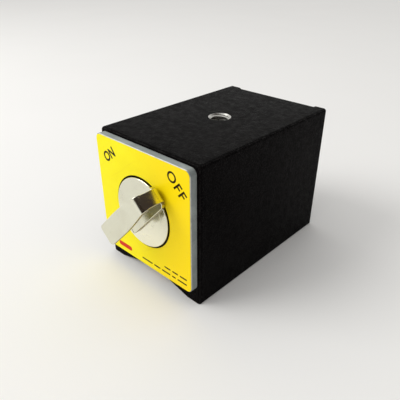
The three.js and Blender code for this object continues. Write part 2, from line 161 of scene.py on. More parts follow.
def edit(piece):
    take(piece)
    bpy.ops.object.mode_set(mode="EDIT")


def select_all():
    bpy.ops.mesh.select_all(action="SELECT")


def done():
    bpy.ops.object.mode_set(mode="OBJECT")


def pick(piece, kind, wanted):
    """In edit mode, select the vertices, edges or faces that wanted(middle, direction) says yes to.
    Places are in millimetres with y from the front face. An edge's direction runs along it, and a
    face's or a vertex's is its normal."""
    bpy.ops.mesh.select_mode(type=kind)
    bpy.ops.mesh.select_all(action="DESELECT")
    mesh = bmesh.from_edit_mesh(piece.data)
    offset = Vector((0, FRONT_Y, 0))
    for item in {"VERT": mesh.verts, "EDGE": mesh.edges, "FACE": mesh.faces}[kind]:
        if kind == "VERT":
            middle, direction = item.co / MM - offset, item.normal
        elif kind == "EDGE":
            a, b = (v.co / MM - offset for v in item.verts)
            middle, direction = (a + b) / 2, (b - a).normalized()
        else:
            middle, direction = item.calc_center_median() / MM - offset, item.normal
        item.select_set(wanted(middle, direction))
    mesh.select_flush_mode()
    bmesh.update_edit_mesh(piece.data)


def along_y(middle, way):
    """Whether an edge runs along Y."""
    return abs(way.y) > 0.9


def round_edges(piece, wanted, radius, segments):
    """Round the edges that wanted(middle, direction) picks."""
    edit(piece)
    pick(piece, "EDGE", wanted)
    bpy.ops.mesh.bevel(
        offset=radius * MM, offset_type="OFFSET", segments=segments, profile=0.5, affect="EDGES"
    )
    done()


def finish_with(piece, kind, **settings):
    """Add a modifier, set it up and apply it."""
    take(piece)
    bpy.ops.object.modifier_add(type=kind)
    step = piece.modifiers[-1]
    for setting, value in settings.items():
        setattr(step, setting, value)
    bpy.ops.object.modifier_apply(modifier=step.name)
    return piece


def carve(piece, *cutters):
    """Cut the cutters out of a piece, throw them away, and close the hairline gaps that the cuts leave."""
    for cutter in cutters:
        finish_with(piece, "BOOLEAN", operation="DIFFERENCE", solver="EXACT", object=cutter)
        bpy.data.objects.remove(cutter)
    edit(piece)
    select_all()
    bpy.ops.mesh.remove_doubles(threshold=2e-6)
    done()
    return piece


def soften(piece, width, segments, angle):
    """A small round on every edge that turns by more than angle degrees."""
    finish_with(
        piece,
        "BEVEL",
        width=width * MM,
        segments=segments,
        limit_method="ANGLE",
        angle_limit=math.radians(angle),
        miter_outer="MITER_ARC",
        use_clamp_overlap=True,
    )
    return piece


def shade(piece, angle=32):
    """Smooth rounds beside flat faces that still shade flat."""
    take(piece)
    bpy.ops.object.shade_smooth_by_angle(angle=math.radians(angle))
    finish_with(piece, "WEIGHTED_NORMAL", keep_sharp=True, weight=60)
    return piece


def copied(piece, name):
    """A copy with its own mesh."""
    take(piece)
    bpy.ops.object.duplicate(linked=False)
    twin = bpy.context.active_object
    twin.name = name
    twin.data.name = name
    return twin


def keep_side(piece, point, normal):
    """Slice a piece with a plane, keep what lies behind the normal, and close the cut."""
    edit(piece)
    select_all()
    bpy.ops.mesh.bisect(
        plane_co=[v * MM for v in point],
        plane_no=normal,
        use_fill=True,
        clear_outer=True,
        threshold=1e-7,
    )
    done()


def line(name, points):
    """A chain of edges through points (x, y, z), drawn by extruding one vertex."""
    clear_selection()
    start = Vector(points[0]) * MM + Vector((0, FRONT_Y * MM, 0))
    bpy.ops.mesh.primitive_plane_add(size=MM, location=start)
    piece = named(name)
    edit(piece)
    bpy.ops.mesh.select_mode(type="VERT")
    select_all()
    bpy.ops.mesh.merge(type="CENTER")
    for a, b in zip(points, points[1:]):
        step = (Vector(b) - Vector(a)) * MM
        bpy.ops.mesh.extrude_region_move(TRANSFORM_OT_translate={"value": step})
    done()
    return piece


def turned(name, profile, x=0.0, z=AXIS_Z, *, facets, axis="Y"):
    """A turned piece: the profile's (radius, along) points spun once round a Y axis through x and z,
    or round the tapped hole's Z axis."""
    if axis == "Y":
        points = [(x + radius, along, z) for radius, along in profile]
        middle, way = (x * MM, FRONT_Y * MM, z * MM), (0, 1, 0)
    else:
        points = [(x + radius, TAP["y"], along) for radius, along in profile]
        middle, way = (x * MM, (TAP["y"] + FRONT_Y) * MM, 0), (0, 0, 1)
    piece = line(name, points)
    edit(piece)
    select_all()
    bpy.ops.mesh.spin(steps=facets, angle=math.tau, center=middle, axis=way)
    select_all()
    bpy.ops.mesh.remove_doubles(threshold=1e-6)
    select_all()
    bpy.ops.mesh.normals_make_consistent(inside=False)
    done()
    return piece


def place(piece, body, slot, materials, *nodes):
    """Hand a finished piece over: its body, materials and the CAD nodes that it stands for. The slot
    argument is not used.
    """
    piece.data.materials.clear()
    for material in materials:
        piece.data.materials.append(material)
    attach(piece, body)
    if nodes:
        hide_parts(*nodes)
    return piece


def paint_faces(piece, slot_index, wanted):
    """Give the faces that wanted(middle, normal) picks another of the piece's materials."""
    for face in piece.data.polygons:
        middle = face.center / MM - Vector((0, FRONT_Y, 0))
        if wanted(middle, face.normal):
            face.material_index = slot_index


# ---- Finishes: small tools ----

def supply(tree, socket, value):
    """Link an input to another socket, or set it to a plain value; a color gets its alpha."""
    if isinstance(value, bpy.types.NodeSocket):
        tree.links.new(value, socket)
    elif socket.type == "RGBA":
        socket.default_value = (*value, 1)
    else:
        socket.default_value = value


def add_node(tree, kind, inputs=None, **settings):
    """A shader node with its settings and inputs."""
    made = tree.nodes.new(kind)
    for setting, value in settings.items():
        setattr(made, setting, value)
    for socket, value in (inputs or {}).items():
        supply(tree, made.inputs[socket], value)
    return made


def calc(tree, operation, a, b=0.0):
    return add_node(tree, "ShaderNodeMath", {0: a, 1: b}, operation=operation).outputs[0]


def times(tree, a, b):
    return calc(tree, "MULTIPLY", a, b)


def vector_calc(tree, operation, a, b=(0, 0, 0)):
    return add_node(tree, "ShaderNodeVectorMath", {0: a, 1: b}, operation=operation).outputs[0]


def separate(tree, vector):
    return add_node(tree, "ShaderNodeSeparateXYZ", {0: vector}).outputs


def combine(tree, x, y, z):
    return add_node(tree, "ShaderNodeCombineXYZ", {0: x, 1: y, 2: z}).outputs[0]


def step_up(tree, value, low, high, out_low=0.0, out_high=1.0):
    """A smooth step of a value, from out_low at low to out_high at high."""
    made = add_node(
        tree,
        "ShaderNodeMapRange",
        {"Value": value, "From Min": low, "From Max": high, "To Min": out_low, "To Max": out_high},
        interpolation_type="SMOOTHSTEP",
        clamp=True,
    )
    return made.outputs["Result"]


def blend_colors(tree, factor, first, second):
    """A blend of two colors; a Mix node's color inputs are its sockets 6 and 7."""
    return add_node(tree, "ShaderNodeMix", {0: factor, 6: first, 7: second}, data_type="RGBA").outputs[2]


def noise(tree, vector, scale, detail, roughness=0.5, distortion=0.0):
    inputs = {"Vector": vector, "Scale": scale, "Detail": detail, "Roughness": roughness}
    return add_node(tree, "ShaderNodeTexNoise", {**inputs, "Distortion": distortion}).outputs[0]


def cell_distance(tree, vector, scale):
    """The distance to the nearest of many scattered points."""
    return add_node(tree, "ShaderNodeTexVoronoi", {"Vector": vector, "Scale": scale}).outputs["Distance"]


def mapped(tree, vector, scale=(1, 1, 1), turn=(0, 0, 0)):
    """A vector turned and then stretched, for a pattern that has a direction."""
    inputs = {"Vector": vector, "Rotation": turn, "Scale": scale}
    return add_node(tree, "ShaderNodeMapping", inputs).outputs[0]


def new_group(name, inputs, outputs):
    """An empty node group with named sockets; returns it with its input and output nodes."""
    tree = bpy.data.node_groups.new(name, "ShaderNodeTree")
    for label, kind, value in inputs:
        socket = tree.interface.new_socket(label, in_out="INPUT", socket_type="NodeSocket" + kind)
        socket.default_value = value
    for label, kind in outputs:
        tree.interface.new_socket(label, in_out="OUTPUT", socket_type="NodeSocket" + kind)
    return tree, tree.nodes.new("NodeGroupInput").outputs, tree.nodes.new("NodeGroupOutput")


# ---- Finishes: effects that several of them share ----

def make_wrinkle():
    """Wrinkled enamel: round grains with fine roughness between them."""
    tree, given, out = new_group(
        "wrinkle_grain",
        [("Vector", "Vector", (0, 0, 0)), ("Grains per Metre", "Float", 1500.0)],
        [("Height", "Float"), ("Tops", "Float")],
    )
    grains = cell_distance(tree, given["Vector"], given["Grains per Metre"])
    fine = noise(tree, given["Vector"], times(tree, given["Grains per Metre"], 2.1), 3.0, 0.6)
    bumps = step_up(tree, grains, 0.12, 0.62, 1.0, 0.0)
    height = calc(tree, "ADD", times(tree, bumps, 0.65), times(tree, fine, 0.7))
    tree.links.new(height, out.inputs["Height"])
    tree.links.new(step_up(tree, height, 0.5, 0.95), out.inputs["Tops"])
    return tree


def make_edge_wear():
    """Wear along the edges of a box-shaped piece: 1 on its edges, broken up by noise."""
    tree, given, out = new_group(
        "edge_wear",
        [
            ("Vector", "Vector", (0, 0, 0)),
            ("Middle", "Vector", (0, 0, 0)),
            ("Half Size", "Vector", (0.01, 0.01, 0.01)),
            ("Reach", "Float", 0.001),
            ("Breakup", "Float", 0.5),
        ],
        [("Mask", "Float")],
    )
    away = vector_calc(tree, "ABSOLUTE", vector_calc(tree, "SUBTRACT", given["Vector"], given["Middle"]))
    depth = separate(tree, vector_calc(tree, "SUBTRACT", given["Half Size"], away))
    # The middle one of the three depths is small only near an edge, where two faces are close.
    low = calc(tree, "MINIMUM", depth["X"], depth["Y"])
    high = calc(tree, "MAXIMUM", depth["X"], depth["Y"])
    middle = calc(tree, "MAXIMUM", low, calc(tree, "MINIMUM", high, depth["Z"]))
    near = calc(tree, "SUBTRACT", 1.0, calc(tree, "DIVIDE", middle, given["Reach"]))
    rough = calc(tree, "SUBTRACT", noise(tree, given["Vector"], 420.0, 6.0, 0.65), 0.5)
    broken = times(tree, rough, times(tree, given["Breakup"], 4.0))
    worn = calc(tree, "ADD", near, broken)
    tree.links.new(step_up(tree, worn, 0.1, 0.65), out.inputs["Mask"])
    return tree


def make_smudges():
    """Uneven handling marks and haze over a surface."""
    tree, given, out = new_group(
        "smudges",
        [("Vector", "Vector", (0, 0, 0)), ("Patches per Metre", "Float", 60.0)],
        [("Mask", "Float"), ("Fine", "Float")],
    )
    large = noise(tree, given["Vector"], given["Patches per Metre"], 4.0, 0.62, 0.6)
    fine = noise(tree, given["Vector"], times(tree, given["Patches per Metre"], 9.0), 3.0, 0.6)
    tree.links.new(step_up(tree, large, 0.36, 0.68), out.inputs["Mask"])
    tree.links.new(fine, out.inputs["Fine"])
    return tree


def make_fine_lines():
    """Fine parallel marks of a brush or a grinding wheel, along the vector's X."""
    tree, given, out = new_group(
        "fine_lines",
        [("Vector", "Vector", (0, 0, 0)), ("Lines per Metre", "Float", 5000.0), ("Length", "Float", 0.02)],
        [("Height", "Float"), ("Scratches", "Float")],
    )
    squeeze = combine(tree, given["Length"], 1.0, 1.0)
    along = vector_calc(tree, "MULTIPLY", given["Vector"], squeeze)
    marks = noise(tree, along, given["Lines per Metre"], 3.0, 0.6)
    rare = noise(tree, along, times(tree, given["Lines per Metre"], 0.35), 2.0)
    tree.links.new(marks, out.inputs["Height"])
    tree.links.new(step_up(tree, rare, 0.62, 0.72), out.inputs["Scratches"])
    return tree


def make_specks():
    """Scattered dust and pinholes."""
    tree, given, out = new_group(
        "specks",
        [("Vector", "Vector", (0, 0, 0)), ("Cells per Metre", "Float", 700.0), ("Size", "Float", 0.12)],
        [("Mask", "Float")],
    )
    cells = cell_distance(tree, given["Vector"], given["Cells per Metre"])
    where = step_up(tree, noise(tree, given["Vector"], 230.0, 2.0), 0.5, 0.62)
    dots = calc(tree, "LESS_THAN", cells, given["Size"])
    tree.links.new(times(tree, dots, where), out.inputs["Mask"])
    return tree


wrinkle_grain = make_wrinkle()
edge_wear = make_edge_wear()
smudges = make_smudges()
fine_lines = make_fine_lines()
specks = make_specks()


def use(tree, shared, **inputs):
    """Place a shared effect in a material; underscores in the input names stand for spaces."""
    inputs = {label.replace("_", " "): value for label, value in inputs.items()}
    return add_node(tree, "ShaderNodeGroup", inputs, node_tree=shared).outputs


def smudged(tree, vector, patches_per_metre):
    return use(tree, smudges, Vector=vector, Patches_per_Metre=patches_per_metre)


def lined(tree, vector, lines_per_metre, length):
    return use(tree, fine_lines, Vector=vector, Lines_per_Metre=lines_per_metre, Length=length)


def new_material(name, **uniform):
    """A material with one Principled shader, whose uniform values are set on its own sockets."""
    material = bpy.data.materials.new(name)
    material.use_nodes = True
    tree = material.node_tree
    shader = tree.nodes["Principled BSDF"]
    for label, value in uniform.items():
        shader.inputs[label.replace("_", " ")].default_value = value
    at = tree.nodes.new("ShaderNodeTexCoord").outputs["Object"]
    return material, tree, shader, at


def feed(tree, shader, **values):
    """Link changing values to a shader; underscores in the input names stand for spaces."""
    for label, value in values.items():
        tree.links.new(value, shader.inputs[label.replace("_", " ")])


def bump(tree, height, depth, strength):
    """A surface normal from a height; depth is in millimetres."""
    inputs = {"Height": height, "Distance": depth * MM, "Strength": strength}
    return add_node(tree, "ShaderNodeBump", inputs).outputs[0]


# ---- Finishes: the materials ----

def box_of(low, high):
    """A box's middle and half size in metres."""
    middle = [(a + b) / 2 * MM for a, b in zip(low, high)]
    return {"Middle": middle, "Half_Size": [(b - a) / 2 * MM for a, b in zip(low, high)]}


def plate_corners():
    half = PLATE["width"] / 2
    return (-half, PLATE["z"] - PLATE["height"] / 2), (half, PLATE["z"] + PLATE["height"] / 2)


half_cover = COVER["width"] / 2
(plate_left, plate_low), (plate_right, plate_high) = plate_corners()
block_box = box_of((-HALF_WIDTH, FRONT_Y, 0), (HALF_WIDTH, REAR_Y, HEIGHT))
plate_box = box_of(
    (plate_left, FRONT_Y - PLATE["thickness"], plate_low),
    (plate_right, FRONT_Y, plate_high),
)
cover_box = box_of(
    (-half_cover, FRONT_Y + CHANNEL_FLOOR, COVER["bottom"]),
    (half_cover, FRONT_Y + COVER_FACE, COVER["top"]),
)


def wear_on(tree, at, box, reach, breakup):
    """Wear along a box's edges, reaching so many millimetres in."""
    return use(tree, edge_wear, Vector=at, Reach=reach * MM, Breakup=breakup, **box)["Mask"]


def black_paint(name, box):
    """Wrinkled black enamel, rubbed thin along the edges of its piece."""
    material, tree, shader, at = new_material(name, IOR=1.08)
    grain = use(tree, wrinkle_grain, Vector=at, Grains_per_Metre=1700.0)
    haze = smudged(tree, at, 45.0)
    worn = wear_on(tree, at, box, 0.55, 0.3)
    dust = use(tree, specks, Vector=at, Cells_per_Metre=620.0, Size=0.1)["Mask"]
    dark = blend_colors(tree, grain["Tops"], (0.0006, 0.0003, 0.0005), (0.0095, 0.0078, 0.008))
    dark = blend_colors(tree, times(tree, haze["Mask"], 0.3), dark, (0.0075, 0.0065, 0.0065))
    dark = blend_colors(tree, times(tree, dust, 0.4), dark, (0.07, 0.067, 0.065))
    rubbed = times(tree, worn, 0.55)
    color = blend_colors(tree, rubbed, dark, (0.05, 0.048, 0.047))
    roughness = step_up(tree, haze["Fine"], 0.3, 0.7, 0.38, 0.52)
    feed(
        tree,
        shader,
        Base_Color=color,
        Roughness=roughness,
        Metallic=times(tree, rubbed, 0.5),
        Normal=bump(tree, grain["Height"], 0.18, 0.85),
    )
    return material


def bare_iron():
    """Ground iron with marks along the block, a thin brown film and darker stains."""
    material, tree, shader, at = new_material("ground_iron", Metallic=1.0)
    along = mapped(tree, at, turn=(0, 0, math.pi / 2))
    marks = lined(tree, along, 3200.0, 0.03)
    stain = smudged(tree, at, 90.0)
    color = blend_colors(tree, marks["Height"], (0.30, 0.29, 0.28), (0.55, 0.54, 0.52))
    color = blend_colors(tree, times(tree, stain["Mask"], 0.55), color, (0.20, 0.165, 0.13))
    roughness = step_up(tree, stain["Fine"], 0.3, 0.7, 0.3, 0.5)
    feed(tree, shader, Base_Color=color, Roughness=roughness, Normal=bump(tree, marks["Height"], 0.02, 0.7))
    return material


def grey_enamel():
    """Satin grey enamel on the cast plate, worn through to metal along its edges."""
    material, tree, shader, at = new_material("grey_enamel", Specular_IOR_Level=0.5)
    worn = wear_on(tree, at, plate_box, 0.34, 0.35)
    haze = smudged(tree, at, 110.0)
    pits = noise(tree, at, 2600.0, 4.0, 0.65)
    enamel = blend_colors(tree, haze["Mask"], (0.22, 0.25, 0.245), (0.31, 0.345, 0.335))
    enamel = blend_colors(tree, step_up(tree, pits, 0.3, 0.45, 0.6, 0.0), enamel, (0.09, 0.09, 0.095))
    color = blend_colors(tree, worn, enamel, (0.58, 0.575, 0.55))
    roughness = blend_colors(tree, worn, (0.5, 0.5, 0.5), (0.42, 0.42, 0.42))
    feed(
        tree,
        shader,
        Base_Color=color,
        Roughness=calc(tree, "ADD", roughness, times(tree, haze["Fine"], 0.12)),
        Metallic=times(tree, worn, 0.6),
        Normal=bump(tree, pits, 0.05, 0.6),
    )
    return material


def yellow_film():
    """Semi-gloss printed film, with fine scratches, faint handling marks and a little dust."""
    material, tree, shader, at = new_material("yellow_film", Specular_IOR_Level=0.1)
    haze = smudged(tree, at, 70.0)
    across = mapped(tree, at, turn=(0, 0.6, 0))
    marks = lined(tree, across, 1800.0, 0.05)
    dust = use(tree, specks, Vector=at, Cells_per_Metre=850.0, Size=0.1)["Mask"]
    # The yellow is a little deeper and more orange towards the right: painted warm shade.
    painted_warm_shade = step_up(tree, separate(tree, at)["X"], -0.012, 0.022)
    color = blend_colors(tree, haze["Mask"], (0.92, 0.8, 0.006), (0.95, 0.835, 0.008))
    color = blend_colors(tree, painted_warm_shade, color, (0.98, 0.72, 0.004))
    color = blend_colors(tree, times(tree, marks["Scratches"], 0.12), color, (0.75, 0.52, 0.02))
    color = blend_colors(tree, times(tree, dust, 0.35), color, (0.42, 0.33, 0.08))
    roughness = step_up(tree, haze["Fine"], 0.25, 0.75, 0.3, 0.46)
    scratched = times(tree, marks["Scratches"], -0.3)
    height = calc(tree, "ADD", noise(tree, at, 350.0, 2.0), scratched)
    feed(tree, shader, Base_Color=color, Roughness=roughness, Normal=bump(tree, height, 0.03, 0.4))
    return material


def printing_ink(name, thick, thin):
    """Printed ink, a little uneven, so that the film shows through in places."""
    material, tree, shader, at = new_material(name, Specular_IOR_Level=0.1)
    cover = noise(tree, at, 3800.0, 3.0, 0.6)
    color = blend_colors(tree, step_up(tree, cover, 0.52, 0.75, 0.0, 0.7), thick, thin)
    roughness = step_up(tree, cover, 0.2, 0.8, 0.32, 0.5)
    feed(tree, shader, Base_Color=color, Roughness=roughness, Normal=bump(tree, cover, 0.01, 0.4))
    return material


def nickel_tone(tree, shader, marks, touch, painted_floor_reflection=0.0):
    """Color, roughness and brush marks of nickel plate, warm and slightly smudged."""
    color = blend_colors(tree, marks["Height"], (0.68, 0.675, 0.556), (0.81, 0.805, 0.675))
    color = blend_colors(tree, times(tree, touch["Mask"], 0.25), color, (0.58, 0.55, 0.43))
    # Painted reflection: where it is given, the colour is lifted towards a pale nickel.
    color = blend_colors(tree, painted_floor_reflection, color, (0.95, 0.93, 0.79))
    smooth = step_up(tree, touch["Mask"], 0.0, 1.0, 0.11, 0.22)
    roughness = calc(tree, "ADD", smooth, times(tree, marks["Scratches"], 0.1))
    normal = bump(tree, marks["Height"], 0.006, 0.6)
    feed(tree, shader, Base_Color=color, Roughness=roughness, Normal=normal)


def nickel_plate():
    """Bright nickel over sheet steel, brushed along the lever."""
    material, tree, shader, at = new_material("nickel_plate", Metallic=1.0)
    along = mapped(tree, at, turn=(0, math.radians(LEVER_ANGLE), 0))
    marks = lined(tree, along, 4200.0, 0.045)
    nickel_tone(tree, shader, marks, smudged(tree, at, 120.0))
    return material


def turned_nickel():
    """The same plate on the disc, whose brush marks run round its axis."""
    material, tree, shader, at = new_material("turned_nickel", Metallic=1.0)
    across, depth, height = separate(tree, at)
    up = calc(tree, "SUBTRACT", height, AXIS_Z * MM)
    radius = calc(tree, "SQRT", calc(tree, "ADD", times(tree, across, across), times(tree, up, up)))
    angle = times(tree, calc(tree, "ARCTAN2", up, across), 0.01)
    rings = combine(tree, angle, radius, depth)
    marks = lined(tree, rings, 3000.0, 0.06)
    # The lower half is painted lighter: a painted reflection of the bright floor below.
    painted_floor_reflection = step_up(tree, up, 0.003, -0.01, 0.0, 0.75)
    nickel_tone(tree, shader, marks, smudged(tree, at, 95.0), painted_floor_reflection)
    return material


def sheared_edge_and_shade():
    """The cut edges of the strip: a bright sheared band, then a darker torn one, thinly plated; the dark
    tone also paints the shade along the strip's edges.
    """
    material, tree, shader, at = new_material("sheared_edge_and_shade", Metallic=1.0)
    drawn = mapped(tree, at, (1, 0.3, 1))
    tear = lined(tree, drawn, 2600.0, 0.6)
    haze = smudged(tree, at, 260.0)
    color = blend_colors(tree, tear["Height"], (0.16, 0.125, 0.08), (0.42, 0.36, 0.25))
    roughness = step_up(tree, haze["Fine"], 0.25, 0.75, 0.32, 0.5)
    feed(tree, shader, Base_Color=color, Roughness=roughness, Normal=bump(tree, tear["Height"], 0.03, 0.8))
    return material


def machined(name, dark, light, rough_low, rough_high):
    """A turned or ground metal surface."""
    material, tree, shader, at = new_material(name, Metallic=1.0)
    marks = lined(tree, at, 3500.0, 0.06)
    stain = smudged(tree, at, 150.0)
    color = blend_colors(tree, marks["Height"], dark, light)
    color = blend_colors(tree, times(tree, stain["Mask"], 0.4), color, dark)
    roughness = step_up(tree, stain["Fine"], 0.25, 0.75, rough_low, rough_high)
    normal = bump(tree, marks["Height"], 0.012, 0.6)
    feed(tree, shader, Base_Color=color, Roughness=roughness, Normal=normal)
    return material


def granular(name, dark, light, roughness, grains_per_metre, depth):
    """A matt grained surface, such as sintered ferrite or moulded rubber."""
    material, tree, shader, at = new_material(name, Roughness=roughness)
    grain = noise(tree, at, grains_per_metre, 5.0, 0.65)
    haze = smudged(tree, at, 200.0)
    color = blend_colors(tree, step_up(tree, grain, 0.3, 0.7), dark, light)
    color = blend_colors(tree, times(tree, haze["Mask"], 0.4), color, light)
    feed(tree, shader, Base_Color=color, Normal=bump(tree, grain, depth, 0.7))
    return material


block_paint = black_paint("block_enamel", block_box)
cover_paint = black_paint("cover_enamel", cover_box)
ground_iron = bare_iron()
plate_enamel = grey_enamel()
label_film = yellow_film()
black_ink = printing_ink("black_ink", (0.008, 0.003, 0.001), (0.06, 0.035, 0.002))
red_ink = printing_ink("red_ink", (0.62, 0.02, 0.012), (0.72, 0.12, 0.015))
nickel = nickel_plate()
disc_nickel = turned_nickel()
# Rougher, unpolished back of the strip; its darker tone is painted shade under the grip.
unpolished_shaded_nickel = machined("unpolished_shaded_nickel", (0.2, 0.195, 0.165), (0.34, 0.335, 0.28), 0.45, 0.6)
strip_edge_and_shade = sheared_edge_and_shade()
steel = machined("machined_steel", (0.34, 0.335, 0.33), (0.6, 0.59, 0.58), 0.26, 0.42)
thread_steel = machined("cut_thread", (0.42, 0.41, 0.39), (0.72, 0.71, 0.68), 0.22, 0.4)
soft_iron = machined("turned_iron", (0.2, 0.2, 0.205), (0.4, 0.395, 0.39), 0.35, 0.52)
brass = machined("plain_brass", (0.5, 0.34, 0.13), (0.78, 0.58, 0.28), 0.24, 0.42)
# Painted shade: the plate's recess behind the disc is coloured near-black to stand for the shadow in the
# gap.
recess_painted_shade = granular("recess_painted_shade", (0.004, 0.004, 0.004), (0.014, 0.013, 0.012), 0.8, 3000.0, 0.03)
ferrite = granular("sintered_ferrite", (0.018, 0.018, 0.019), (0.05, 0.05, 0.052), 0.75, 5200.0, 0.03)
rubber = granular("nitrile_rubber", (0.008, 0.008, 0.008), (0.022, 0.022, 0.023), 0.7, 6000.0, 0.01)
by_slot = {
    "black_paint": block_paint,
    "grey_paint": plate_enamel,
    "yellow_label": label_film,
    "nickel": nickel,
    "steel": steel,
    "soft_iron": soft_iron,
    "brass": brass,
    "ferrite": ferrite,
    "rubber": rubber,
}
for subpart in frame["record"]["subparts"]:
    cad_node = frame["nodes"][subpart["node"]]
    for seat in cad_node.material_slots:
        seat.material = by_slot[subpart["material_slot"]]


# ---- The iron block: two pole shoes and the two strips brazed between them ----

def groove_wedge():
    """The V under the block, as a bar to cut away."""
    reach = GROOVE["half_width"] * 1.2
    wedge = slab("groove_wedge", (-reach, -2, -8), (reach, LENGTH + 2, 0))
    edit(wedge)
    pick(wedge, "EDGE", lambda middle, way: middle.z > -1 and abs(way.x) > 0.9)
    bpy.ops.mesh.subdivide(number_cuts=1)
    pick(wedge, "VERT", lambda spot, way: abs(spot.x) < 1 and spot.z > -1)
    bpy.ops.transform.translate(value=(0, 0, GROOVE["depth"] * MM))
    pick(wedge, "VERT", lambda spot, way: abs(spot.x) > 1 and spot.z > -1)
    drop = GROOVE["depth"] * (reach / GROOVE["half_width"] - 1)
    bpy.ops.transform.translate(value=(0, 0, -drop * MM))
    done()
    return wedge


def tap_bore():
    """The upright hole that the threaded insert fills, from the rotor's axis up."""
    radius = TAP["mouth"]
    profile = [(0, AXIS_Z), (radius, AXIS_Z), (radius, HEIGHT + 1), (0, HEIGHT + 1)]
    return turned("tap_bore", profile, facets=TAP["facets"], axis="Z")


def screw_shape(name, x, z, face, inwards, play):
    """A countersunk screw whose head is flush with a face, or with play the hole for it. The sign of
    inwards says which way along Y it goes in."""
    head, shank = SCREW["head"] + play, SCREW["shank"] + play
    cone = face + inwards * CONE_START
    end = face + inwards * (SCREW["length"] + play)
    start = face - inwards if play else face
    profile = [
        (0, start),
        (head, start),
        (head, cone),
        (shank, cone + inwards * (head - shank)),
        (shank, end),
        (0, end),
    ]
    return turned(name, profile, x, z, facets=48)


def plate_screw_seats():
    face = -PLATE["thickness"]
    return [screw_shape("seat", x, z, face, 1, SCREW["play"]) for x, z in PLATE_SCREWS]


def cover_screw_seats():
    return [screw_shape("seat", x, z, COVER_FACE, -1, SCREW["play"]) for x, z in COVER_SCREWS]


def make_block():
    block = slab("block", (-HALF_WIDTH, 0, 0), (HALF_WIDTH, LENGTH, HEIGHT))
    half = CHANNEL["half_width"]
    carve(block, slab("channel", (-half, CHANNEL_FLOOR, -1), (half, LENGTH + 1, HEIGHT + 1)))

    def outer_edge(middle, way):
        return middle.z > HEIGHT - 0.1 or (abs(middle.x) > HALF_WIDTH - 0.1 and abs(way.z) > 0.9)

    def foot_edge(middle, way):
        return along_y(middle, way) and middle.z < 0.1 and abs(middle.x) > HALF_WIDTH - 0.1

    round_edges(block, outer_edge, EDGE_RADIUS, 6)
    round_edges(block, foot_edge, FOOT_EDGE, 1)
    carve(block, groove_wedge(), rod("bore", BORE_RADIUS, -1, LENGTH + 1))
    soften(block, SMALL_EDGE, segments=2, angle=25)
    carve(block, tap_bore(), *plate_screw_seats(), *cover_screw_seats())
    return block


def split_block(block):
    """Four pieces that meet face to face: a shoe on each side, and a strip above and below the bore."""
    inner = STRIP_HALF_WIDTH
    right = copied(block, "shoe_right")
    keep_side(right, (inner, 0, 0), (-1, 0, 0))
    left = copied(block, "shoe_left")
    keep_side(left, (-inner, 0, 0), (1, 0, 0))
    keep_side(block, (inner, 0, 0), (1, 0, 0))
    keep_side(block, (-inner, 0, 0), (-1, 0, 0))
    upper = copied(block, "strip_top")
    keep_side(upper, (0, 0, AXIS_Z), (0, 0, -1))
    lower = copied(block, "strip_bottom")
    keep_side(lower, (0, 0, AXIS_Z), (0, 0, 1))
    bpy.data.objects.remove(block)
    return [shade(piece) for piece in (left, right, upper, lower)]


def is_underside(middle, normal):
    """Whether a face belongs to the ground feet and groove."""
    return middle.z < GROOVE["depth"] + 0.4 and normal.z < -0.5


left_shoe, right_shoe, top_strip, bottom_strip = split_block(make_block())
for shoe, cad_name in ((left_shoe, "pole_shoe_left"), (right_shoe, "pole_shoe_right")):
    place(shoe, "block", "black_paint", [block_paint, ground_iron], cad_name)
    paint_faces(shoe, 1, is_underside)
place(top_strip, "block", "black_paint", [block_paint], "separator_top")
place(bottom_strip, "block", "brass", [brass, block_paint], "separator_bottom")
paint_faces(bottom_strip, 1, lambda middle, normal: not is_underside(middle, normal))


# ---- The threaded insert in the top strip ----

def make_thread():
    floor = AXIS_Z + BORE_RADIUS + 0.2
    bore, mouth = TAP["drill"], TAP["mouth"]
    body = [(0, floor), (mouth, floor), (mouth, HEIGHT), (0, HEIGHT)]
    insert = turned("thread_insert", body, facets=TAP["facets"], axis="Z")
    # The countersink stops just short of the insert's rim, so that it leaves no knife edge.
    sink = HEIGHT - (mouth - bore) + 0.08
    drill = [(0, floor - 1), (bore, floor - 1), (bore, sink), (mouth + 0.5, HEIGHT + 0.5), (0, HEIGHT + 0.5)]
    carve(insert, turned("drill_and_countersink", drill, facets=TAP["facets"], axis="Z"))
    # The thread's V, wound up the hole and capped at both ends, is cut out of the insert.
    base = floor - 1.6 * TAP["pitch"]
    rise = 1.08
    valley = [(bore - 0.15, 0), (TAP["thread"], 0.48), (TAP["thread"], 0.6), (bore - 0.15, rise)]
    ridge = line("thread_valley", [(radius, -FRONT_Y, base + up) for radius, up in valley])
    edit(ridge)
    select_all()
    bpy.ops.mesh.edge_face_add()
    bpy.ops.mesh.delete(type="ONLY_FACE")
    done()
    steps = 48
    finish_with(
        ridge,
        "SCREW",
        axis="Z",
        angle=math.tau,
        screw_offset=TAP["pitch"] * MM,
        iterations=TAP["turns"],
        steps=steps,
        render_steps=steps,
        use_merge_vertices=False,
    )
    edit(ridge)
    for end_z in (base, base + TAP["turns"] * TAP["pitch"]):

        def on_cap(spot, way):
            level = abs(spot.z - end_z - rise / 2) < rise / 2 + 0.02
            return level and abs(spot.y + FRONT_Y) < 1e-3 and spot.x > 0

        pick(ridge, "VERT", on_cap)
        bpy.ops.mesh.edge_face_add()
    select_all()
    bpy.ops.mesh.normals_make_consistent(inside=False)
    done()
    ridge.location.y = (TAP["y"] + FRONT_Y) * MM
    take(ridge)
    settle()
    carve(insert, ridge)
    return shade(insert, 25)


place(make_thread(), "block", "steel", [thread_steel])


# ---- The front plate, its label and the printing on the label ----

